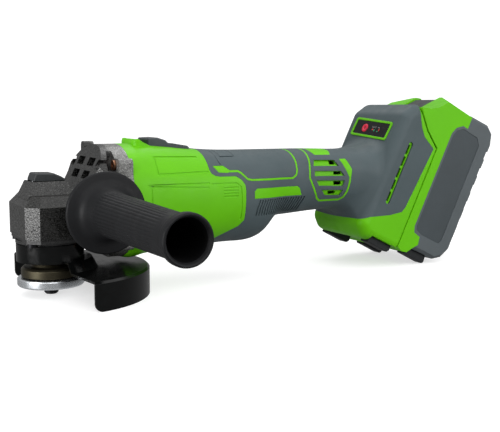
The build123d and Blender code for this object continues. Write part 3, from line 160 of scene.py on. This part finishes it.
def plastic(name, color, rough=0.4, var=0.08, grain=2600.0, grain_str=0.12, grain_mm=0.06, spec=0.5, mottle=45.0, coat=0.0):
    """Moulded plastic: slow colour drift, fine spark-eroded grain, roughness that varies with handling."""
    mt, nt, bs, co = start(name)
    n1 = noise(nt, co, mottle, 5.0)
    nt.links.new(ramp(nt, n1, [(0.25, shade(color, 1 - var)), (0.75, shade(color, 1 + var))]), bs.inputs["Base Color"])
    n2 = noise(nt, co, mottle * 3.1, 3.0)
    nt.links.new(remap(nt, n2, rough - 0.07, rough + 0.09), bs.inputs["Roughness"])
    n3 = noise(nt, co, grain, 2.0)
    nt.links.new(bump(nt, n3, grain_str, grain_mm * MM), bs.inputs["Normal"])
    bs.inputs["Specular IOR Level"].default_value = spec
    if coat:
        bs.inputs["Coat Weight"].default_value = coat
        bs.inputs["Coat Roughness"].default_value = 0.12
    return mt


def metal(name, color, rough=0.3, var=0.1, lines=None, grain_str=0.08, metallic=1.0, scale=600.0, worn=1.0):
    """Machined or plated metal with fine scratches; lines stretches them along one axis."""
    mt, nt, bs, co = start(name)
    v = stretch(nt, co, lines or (1.0, 1.0, 1.0))
    n1 = noise(nt, v, scale, 5.0)
    n2 = noise(nt, co, 90.0, 4.0)
    nt.links.new(ramp(nt, n1, [(0.3, shade(color, 1 - var)), (0.7, shade(color, 1 + var))]), bs.inputs["Base Color"])
    nt.links.new(math_node(nt, "ADD", remap(nt, n1, rough - 0.06 * worn, rough + 0.08 * worn), remap(nt, n2, -0.03 * worn, 0.05 * worn)), bs.inputs["Roughness"])
    nt.links.new(bump(nt, n1, grain_str, 0.05 * MM), bs.inputs["Normal"])
    bs.inputs["Metallic"].default_value = metallic
    return mt


def cast(name, base, fleck, rough=0.42, size=1250.0, share=0.55, bump_str=0.35, spec=0.35, light=None, grain=0.6):
    """Dark hammered paint over a die casting, with small bright metal flecks in it; light is (from x, to x, base,
    fleck) of a band beyond x painted lighter, painted light standing in for the light that falls on the flange end."""
    mt, nt, bs, co = start(name)
    vo = nt.nodes.new("ShaderNodeTexVoronoi")
    vo.inputs["Scale"].default_value = size
    vo.inputs["Randomness"].default_value = 1.0
    nt.links.new(co, vo.inputs["Vector"])
    sep = nt.nodes.new("ShaderNodeSeparateColor")
    nt.links.new(vo.outputs["Color"], sep.inputs["Color"])
    spot = remap(nt, vo.outputs["Distance"], 1.0, 0.0, 0.16, 0.36)
    some = remap(nt, sep.outputs["Red"], 0.0, 1.0, share, share + 0.3)
    sand = remap(nt, noise(nt, co, size * 1.15, 2.0, 0.6), 0.0, grain, 0.47, 0.66)
    mask = math_node(nt, "MAXIMUM", math_node(nt, "MULTIPLY", spot, some), sand)
    slow = noise(nt, co, 260.0, 4.0)
    tone = ramp(nt, slow, [(0.3, shade(base, 0.72)), (0.7, shade(base, 1.35))])
    color = mix_color(nt, mask, tone, fleck)
    # painted light: past the given x the base and fleck colours blend to lighter ones, standing in for light falling on
    # the flange end
    if light:
        xyz = nt.nodes.new("ShaderNodeSeparateXYZ")
        nt.links.new(co, xyz.inputs[0])
        edge = math_node(nt, "ADD", xyz.outputs["X"], remap(nt, noise(nt, co, 320.0, 3.0), -0.0008, 0.0008))
        painted_light_patch = remap(nt, edge, 0.0, 1.0, light[0], light[1])
        painted_light_tone = ramp(nt, slow, [(0.3, shade(light[2], 0.72)), (0.7, shade(light[2], 1.35))])
        color = mix_color(nt, painted_light_patch, color, mix_color(nt, mask, painted_light_tone, light[3]))
    nt.links.new(color, bs.inputs["Base Color"])
    nt.links.new(math_node(nt, "SUBTRACT", remap(nt, sep.outputs["Green"], rough - 0.06, rough + 0.1, 0.0, 1.0), math_node(nt, "MULTIPLY", mask, 0.12)), bs.inputs["Roughness"])
    nt.links.new(math_node(nt, "MULTIPLY", mask, 0.85), bs.inputs["Metallic"])
    h = noise(nt, co, 800.0, 3.0)
    b1 = bump(nt, h, bump_str, 0.22 * MM)
    nt.links.new(bump(nt, sep.outputs["Blue"], bump_str * 0.5, 0.10 * MM, b1), bs.inputs["Normal"])
    bs.inputs["Specular IOR Level"].default_value = spec
    return mt


def paint(name, color, rough=0.22, orange=700.0, spec=0.5):
    """Gloss paint with a little orange peel."""
    mt, nt, bs, co = start(name)
    n1 = noise(nt, co, 60.0, 5.0)
    nt.links.new(ramp(nt, n1, [(0.3, shade(color, 0.8)), (0.7, shade(color, 1.25))]), bs.inputs["Base Color"])
    n2 = noise(nt, co, 180.0, 4.0)
    nt.links.new(remap(nt, n2, rough - 0.06, rough + 0.1), bs.inputs["Roughness"])
    n3 = noise(nt, co, orange, 2.0)
    nt.links.new(bump(nt, n3, 0.06, 0.1 * MM), bs.inputs["Normal"])
    bs.inputs["Specular IOR Level"].default_value = spec
    return mt


GREEN = (0.118, 0.468, 0.003)
GREY = (0.059, 0.081, 0.088)
MAT = {
    "green_plastic": plastic("green_plastic", GREEN, rough=0.42, var=0.04, grain_str=0.10, spec=0.16),
    "grey_rubber": plastic("grey_rubber", GREY, rough=0.56, var=0.06, grain=3200.0, grain_str=0.22, grain_mm=0.08, spec=0.3),
    # the band lighter from x 34.5 mm (full by 37 mm) is painted light on the gear case's flange end
    "dark_cast": cast("dark_cast", (0.0026, 0.0026, 0.0022), (0.10, 0.10, 0.097), rough=0.27, size=1150.0, share=0.45, bump_str=0.8, spec=0.40, grain=0.45, light=(0.0345, 0.0370, (0.085, 0.085, 0.082), (0.55, 0.55, 0.53))),
    "bearing_cast": cast("bearing_cast", (0.012, 0.012, 0.012), (0.10, 0.10, 0.10), size=1700.0, share=0.5),
    "black_plastic": plastic("black_plastic", (0.0095, 0.0098, 0.0108), rough=0.52, var=0.15, grain_str=0.2, spec=0.16),
    "black_paint": paint("black_paint", (0.0026, 0.0029, 0.0029), rough=0.16, spec=0.24),
    "steel": metal("steel", (0.55, 0.56, 0.58), rough=0.28),
    "dark_steel": metal("dark_steel", (0.025, 0.025, 0.027), rough=0.36),
    "zinc": metal("zinc", (0.88, 0.915, 0.95), rough=0.27, var=0.02, lines=(1.0, 1.0, 6.0), grain_str=0.002, scale=900.0, worn=0.15),
    "bronze": metal("bronze", (0.070, 0.062, 0.041), rough=0.40, var=0.14, lines=(1.0, 1.0, 5.0)),
    "screw_copper": metal("screw_copper", (0.40, 0.20, 0.12), rough=0.32),
    "laminations": metal("laminations", (0.25, 0.25, 0.27), rough=0.5, lines=(12.0, 0.2, 0.2), grain_str=0.4),
    "magnet": metal("magnet", (0.4, 0.4, 0.42), rough=0.35),
    "copper": metal("copper", (0.72, 0.30, 0.13), rough=0.35, lines=(0.3, 4.0, 4.0), grain_str=0.4),
    "fan_plastic": plastic("fan_plastic", (0.02, 0.02, 0.022), rough=0.5, var=0.15),
    "button_grey": plastic("button_grey", (0.019, 0.0215, 0.023), rough=0.46, var=0.10, grain_str=0.16, spec=0.35),
    "switch_black": plastic("switch_black", (0.040, 0.048, 0.053), rough=0.50, var=0.10, grain_str=0.2, spec=0.35),
    "panel_green": plastic("panel_green", GREEN, rough=0.36, var=0.05, spec=0.25),
    "panel_face": paint("panel_face", (0.006, 0.0065, 0.007), rough=0.2, spec=0.35),
    "lamp": plastic("lamp", (0.30, 0.31, 0.30), rough=0.2, var=0.2, grain_str=0.05),
    "red_button": plastic("red_button", (0.62, 0.010, 0.045), rough=0.35, var=0.12),
    "pcb": plastic("pcb", (0.012, 0.10, 0.05), rough=0.35, var=0.25, mottle=500.0),
    "contact": metal("contact", (0.75, 0.50, 0.26), rough=0.28),
    "pack_green": plastic("pack_green", GREEN, rough=0.42, var=0.04, grain_str=0.10, spec=0.16),
    "pack_grey": plastic("pack_grey", (0.078, 0.092, 0.099), rough=0.50, var=0.07, grain_str=0.2, spec=0.35),
    "pack_panel": plastic("pack_panel", (0.047, 0.058, 0.064), rough=0.46, var=0.08, grain_str=0.1, spec=0.3),
    "cell_sleeve": plastic("cell_sleeve", (0.03, 0.12, 0.30), rough=0.3, var=0.1),
    "bumper": plastic("bumper", (0.011, 0.0125, 0.014), rough=0.6, var=0.15, grain_str=0.25, spec=0.3),
}

SLOT = {s["node"]: s["material_slot"] for s in frame["record"]["subparts"]}
for name, obj in NODES.items():
    obj.data.materials.clear()
    obj.data.materials.append(MAT[SLOT[name]])

# ------------------------------------------------------------------ softened edges of the CAD nodes
EDGE = {
    "gear_case": (0.55, 3), "bearing_plate": (0.35, 2), "guard": (0.35, 2), "guard_collar": (0.3, 2),
    "inner_flange": (0.25, 2), "clamp_nut": (0.25, 2), "spindle": (0.15, 2),
    "motor_housing": (0.22, 2), "handle_shell_left": (0.2, 2), "handle_shell_right": (0.2, 2),
    "grip_cover_left": (0.22, 2), "grip_cover_right": (0.22, 2),
    "control_panel_frame": (0.35, 2), "control_panel_face": (0.12, 2),
    "slide_switch": (0.35, 2), "lock_button": (0.7, 3),
    "battery_upper_case": (0.7, 3), "battery_lower_case": (0.6, 3), "battery_side_panels": (0.25, 2),
    "battery_bumper": (0.7, 3), "foot_pad": (0.6, 3), "release_button": (0.7, 3),
    "guard_clamp_screw": (0.25, 2), "guard_clamp_nut": (0.25, 2), "side_handle_stud": (0.2, 2),
}
SMOOTH_SKIN = ("motor_housing", "handle_shell_left", "handle_shell_right", "grip_cover_left", "grip_cover_right")
for name, (width, seg) in EDGE.items():
    o = NODES[name]
    w = o.modifiers.new("weld", "WELD")
    w.merge_threshold = 2e-5
    d = o.modifiers.new("flat", "DECIMATE")
    d.decimate_type = "DISSOLVE"
    d.angle_limit = math.radians(0.15 if name in SMOOTH_SKIN else 0.6)
    b = o.modifiers.new("edge", "BEVEL")
    b.width = width * MM
    b.segments = seg
    b.limit_method = "ANGLE"
    b.angle_limit = math.radians(28.0)
    b.use_clamp_overlap = name not in SMOOTH_SKIN
    n = o.modifiers.new("shade", "WEIGHTED_NORMAL")
    n.keep_sharp = False


# ------------------------------------------------------------------ detail pieces
def add_mesh(name, bm, mats, body, replaces=(), smooth=True):
    bmesh.ops.recalc_face_normals(bm, faces=bm.faces)
    me = bpy.data.meshes.new(name)
    bm.to_mesh(me)
    bm.free()
    for p in me.polygons:
        p.use_smooth = smooth
    o = bpy.data.objects.new(name, me)
    SC.collection.objects.link(o)
    for mt in mats:
        me.materials.append(mt)
    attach(o, body)
    if replaces:
        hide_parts(*replaces)
    return o


def curve_through(pts, n):
    """Points on a smooth line through pts (centripetal), n per span."""
    out = []
    for i in range(len(pts) - 1):
        p0 = pts[max(i - 1, 0)]
        p1, p2 = pts[i], pts[i + 1]
        p3 = pts[min(i + 2, len(pts) - 1)]
        for k in range(n):
            t = k / n
            out.append(tuple(0.5 * ((2 * b) + (c - a) * t + (2 * a - 5 * b + 4 * c - d) * t * t + (3 * b - a - 3 * c + d) * t ** 3)
                             for a, b, c, d in zip(p0, p1, p2, p3)))
    out.append(tuple(pts[-1]))
    return out


# ribbed tube of the side handle, lathed about its own axis
HX, HZ = 24.0, 59.0
outer = [(9.0, -44.0), (25.0, -44.0), (25.9, -44.3), (26.4, -45.0), (26.5, -46.0), (26.3, -46.85), (25.6, -47.4)]
outer += curve_through([(25.6, -47.4), (23.4, -47.75), (20.6, -48.3), (18.4, -49.5), (16.8, -51.6), (15.5, -55.4), (14.4, -61.0)], 5)[1:]
n_tube = 40
outer += [(14.4 - 1.7 * k / n_tube, -61.0 - 95.0 * k / n_tube) for k in range(1, n_tube + 1)]
outer += curve_through([(12.7, -156.0), (12.75, -158.0), (13.0, -160.0), (13.5, -162.3), (14.2, -164.4)], 3)[1:]
outer += [(14.4, -165.4), (14.4, -168.6), (14.2, -169.5), (13.7, -169.95), (13.2, -170.0), (12.8, -169.8), (12.2, -169.0), (11.6, -167.6)]
inner = [(10.9, -163.0), (10.6, -160.0), (10.2, -116.0), (9.8, -73.0), (9.2, -72.2), (4.0, -72.0), (4.0, -46.4), (9.0, -46.4)]
profile = outer + inner
SEG, RIBS = 320, 40
bm = bmesh.new()
rings = []
for r, y in profile:
    row = []
    deep = 0.0
    if (r, y) in outer and -154.0 <= y <= -58.0:
        deep = 0.30 * min(1.0, (-58.0 - y) / 5.0) * min(1.0, (y + 154.0) / 4.0)
    for k in range(SEG):
        a = 2 * math.pi * k / SEG
        w = 0.5 - 0.5 * math.cos(RIBS * a)
        rr = r - deep * (1.0 - w ** 0.55)
        row.append(bm.verts.new(((HX + rr * math.cos(a)) * MM, y * MM, (HZ + rr * math.sin(a)) * MM)))
    rings.append(row)
for i in range(len(rings)):
    a, b = rings[i], rings[(i + 1) % len(rings)]
    for k in range(SEG):
        k2 = (k + 1) % SEG
        bm.faces.new((a[k], a[k2], b[k2], b[k])).material_index = 1 if i >= len(outer) - 1 else 0
# the bore is the tube's own black plastic made darker and duller: painted shade inside the hole
bore_painted_shade = plastic("bore_painted_shade", (0.0022, 0.0022, 0.0024), rough=0.7, var=0.2, grain_str=0.2, spec=0.08)
handle = add_mesh("side_handle_tube", bm, [MAT["black_plastic"], bore_painted_shade], "handle_set", ["side_handle_grip"])
es = handle.modifiers.new("crisp", "EDGE_SPLIT")
es.split_angle = math.radians(40.0)

# coil spring under the lock button, wound as a round wire
COIL_X, COIL_R, WIRE_R, COIL_Z, PITCH_Z, TURNS = -9.4, 3.3, 0.42, 70.35, 1.3, 5
N_T, N_W = 36, 10
bm = bmesh.new()
rings = []
for i in range(TURNS * N_T + 1):
    a = 2 * math.pi * i / N_T
    z = COIL_Z + PITCH_Z * i / N_T
    ring = []
    for k in range(N_W):
        w = 2 * math.pi * k / N_W
        rr = COIL_R + WIRE_R * math.cos(w)
        ring.append(bm.verts.new(((COIL_X + rr * math.cos(a)) * MM, rr * math.sin(a) * MM, (z + WIRE_R * math.sin(w)) * MM)))
    rings.append(ring)
for i in range(len(rings) - 1):
    for k in range(N_W):
        k2 = (k + 1) % N_W
        bm.faces.new((rings[i][k], rings[i][k2], rings[i + 1][k2], rings[i + 1][k]))
bm.faces.new(list(reversed(rings[0])))
bm.faces.new(rings[-1])
coil = add_mesh("lock_spring_coil", bm, [MAT["steel"]], "tool_body", ["lock_spring"])
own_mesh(coil)

# control panel: push button with a raised ring, and small lamp marks behind smoked windows
TILT_A = math.radians(26.0)
cp, sp = math.cos(TILT_A), math.sin(TILT_A)
TURN = math.radians(4.6)
S_DIR = Vector((cp, 0.0, -sp))
U_DIR = Vector((sp, 0.0, cp))
P_X = (Vector((0, 1, 0)) * math.cos(TURN) + U_DIR * math.sin(TURN))
P_Y = (U_DIR * math.cos(TURN) - Vector((0, 1, 0)) * math.sin(TURN))
P_N = -S_DIR
P_O = (S_DIR * 192.0 + U_DIR * 215.5) * MM


def panel_point(x, y, h):
    return P_O + (P_X * x + P_Y * y + P_N * h) * MM


BTN = (8.8, -0.2)
bm = bmesh.new()
prof = [(0.0, 0.10), (0.9, 0.10), (1.25, 0.16), (1.5, 0.42), (1.9, 0.62), (2.5, 0.70), (3.1, 0.66), (3.42, 0.50), (3.55, 0.2),
        (3.55, -4.3), (4.5, -4.3), (4.6, -4.4), (4.6, -5.0), (4.5, -5.1), (0.0, -5.1)]
rows = []
N_B = 48
for r, h in prof:
    if r == 0.0:
        rows.append([bm.verts.new(panel_point(BTN[0], BTN[1], h))])
    else:
        rows.append([bm.verts.new(panel_point(BTN[0] + r * math.cos(2 * math.pi * k / N_B), BTN[1] + r * math.sin(2 * math.pi * k / N_B), h)) for k in range(N_B)])
for i in range(len(rows) - 1):
    a, b = rows[i], rows[i + 1]
    for k in range(N_B):
        k2 = (k + 1) % N_B
        if len(a) == 1:
            f = bm.faces.new((a[0], b[k], b[k2]))
            f.material_index = 1
        elif len(b) == 1:
            f = bm.faces.new((a[k2], a[k], b[0]))
        else:
            f = bm.faces.new((a[k], a[k2], b[k2], b[k]))
            f.material_index = 1 if i < 2 else 0
dark_red = plastic("button_centre", (0.30, 0.004, 0.02), rough=0.4, var=0.12)
add_mesh("speed_button_ring", bm, [MAT["red_button"], dark_red], "speed_button_set", ["speed_button"])


def slab(bm, x0, x1, y0, y1, h0, h1, mat, soft=0.12):
    """Small rounded block standing on the panel."""
    rows = []
    for inset, h in ((0.0, h0), (0.0, h1 - soft), (soft * 0.3, h1 - soft * 0.3), (soft, h1)):
        pts = []
        for cx, cy, a0 in ((x1, y1, 0), (x0, y1, 90), (x0, y0, 180), (x1, y0, 270)):
            rr = min(0.3, (x1 - x0) * 0.3, (y1 - y0) * 0.3)
            ox = cx + (-rr if cx == x1 else rr)
            oy = cy + (-rr if cy == y1 else rr)
            for k in range(4):
                a = math.radians(a0 + 30 * k)
                pts.append(bm.verts.new(panel_point(ox + (rr - inset) * math.cos(a), oy + (rr - inset) * math.sin(a), h)))
        rows.append(pts)
    n = len(rows[0])
    for i in range(len(rows) - 1):
        for k in range(n):
            k2 = (k + 1) % n
            bm.faces.new((rows[i][k], rows[i][k2], rows[i + 1][k2], rows[i + 1][k])).material_index = mat
    bm.faces.new(rows[-1]).material_index = mat
    bm.faces.new(list(reversed(rows[0]))).material_index = mat


bm = bmesh.new()
for x in (-3.0, -9.0, -15.0):
    slab(bm, x - 1.47, x + 1.47, -2.47, 2.47, -1.1, 0.18, 0)
for k in range(4):
    slab(bm, -1.0 - 1.5 * k - 0.22, -1.0 - 1.5 * k + 0.22, 0.9, 2.4, 0.15, 0.32, 1, 0.06)
slab(bm, -10.6, -8.2, 1.3, 1.9, 0.15, 0.32, 1, 0.06)
slab(bm, -2.9, -1.5, -1.3, -0.1, 0.15, 0.42, 2)
slab(bm, -5.2, -3.9, -1.9, -0.5, 0.15, 0.42, 3)
slab(bm, -11.0, -10.3, -1.4, 0.8, 0.15, 0.36, 2, 0.08)
slab(bm, -9.7, -8.5, -2.3, -1.3, 0.15, 0.42, 3)
lamp_red = plastic("lamp_red", (0.62, 0.05, 0.03), rough=0.25, var=0.15, grain_str=0.03)
lamp_green = plastic("lamp_green", (0.02, 0.34, 0.16), rough=0.25, var=0.15, grain_str=0.03)
lamp_tick = plastic("lamp_tick", (0.2, 0.2, 0.2), rough=0.4, var=0.15, grain_str=0.03)
add_mesh("panel_lamp_marks", bm, [MAT["panel_face"], lamp_tick, lamp_red, lamp_green], "tool_body", ["panel_lamps"], smooth=False)


# ------------------------------------------------------------------ stage and light
def area(name, loc, target, size, power, color=(1.0, 1.0, 1.0), size_y=None):
    d = bpy.data.lights.new(name, "AREA")
    d.energy = power
    d.color = color
    d.shape = "RECTANGLE"
    d.size = size
    d.size_y = size_y or size
    o = bpy.data.objects.new(name, d)
    SC.collection.objects.link(o)
    o.location = loc
    o.rotation_euler = (Vector(target) - Vector(loc)).to_track_quat("-Z", "Y").to_euler()
    return o


sky = bpy.data.lights.new("sky_soft", "SUN")
sky.energy = 1.93
sky.angle = math.radians(100.0)
sky_obj = bpy.data.objects.new("sky_soft", sky)
SC.collection.objects.link(sky_obj)
sky_obj.rotation_euler = Vector((-0.12, 0.36, -1.0)).to_track_quat("-Z", "Y").to_euler()
area("left_soft", (-0.52, -0.15, 0.09), (0.0, 0.0, 0.05), 0.30, 2.9, size_y=0.20)
area("front_soft", (0.05, -1.0, 0.55), (0.15, 0.0, 0.06), 0.7, 2.0)
area("right_soft", (0.62, -0.75, 0.30), (0.26, 0.0, 0.06), 0.5, 2.9)
area("back_soft", (0.30, 0.75, 1.15), (0.15, 0.0, 0.06), 0.8, 4.0)

world = bpy.data.worlds.new("studio")
SC.world = world
world.use_nodes = True
wn = world.node_tree
wtc = wn.nodes.new("ShaderNodeTexCoord")
wsx = wn.nodes.new("ShaderNodeSeparateXYZ")
wn.links.new(wtc.outputs["Generated"], wsx.inputs[0])
wz = remap(wn, wsx.outputs["Z"], 0.0, 1.0, -1.0, 1.0)
wn.links.new(ramp(wn, wz, [(0.0, (0.38, 0.38, 0.38)), (0.46, (0.24, 0.24, 0.24)), (0.55, (0.30, 0.30, 0.30)), (0.8, (0.36, 0.36, 0.36)), (1.0, (0.5, 0.5, 0.5))]),
             wn.nodes["Background"].inputs["Color"])
wn.nodes["Background"].inputs["Strength"].default_value = 1.0


def paper(name, color, glow):
    """White studio paper, lifted a little so that it stays white right back to the horizon."""
    mt = plastic(name, color, rough=0.9, var=0.01, grain=900.0, grain_str=0.02, mottle=8.0, spec=0.1)
    bs = mt.node_tree.nodes["Principled BSDF"]
    bs.inputs["Emission Color"].default_value = (1.0, 1.0, 1.0, 1.0)
    bs.inputs["Emission Strength"].default_value = glow
    return mt


bm = bmesh.new()
bmesh.ops.create_grid(bm, x_segments=2, y_segments=2, size=9.0)
floor_mesh = bpy.data.meshes.new("floor")
bm.to_mesh(floor_mesh)
bm.free()
floor = bpy.data.objects.new("floor", floor_mesh)
floor.data.materials.append(paper("floor_paper", (0.55, 0.55, 0.55), 0.62))
bm = bmesh.new()
bmesh.ops.create_uvsphere(bm, u_segments=64, v_segments=32, radius=8.6)
back_mesh = bpy.data.meshes.new("backdrop")
bm.to_mesh(back_mesh)
bm.free()
backdrop = bpy.data.objects.new("backdrop", back_mesh)
backdrop.data.materials.append(paper("backdrop_paper", (0.3, 0.3, 0.3), 1.0))
for o in (floor, backdrop):
    SC.collection.objects.link(o)
    o.visible_diffuse = False
    o.visible_glossy = False
    o.visible_transmission = False
backdrop.visible_shadow = False

SC.view_settings.view_transform = "Standard"
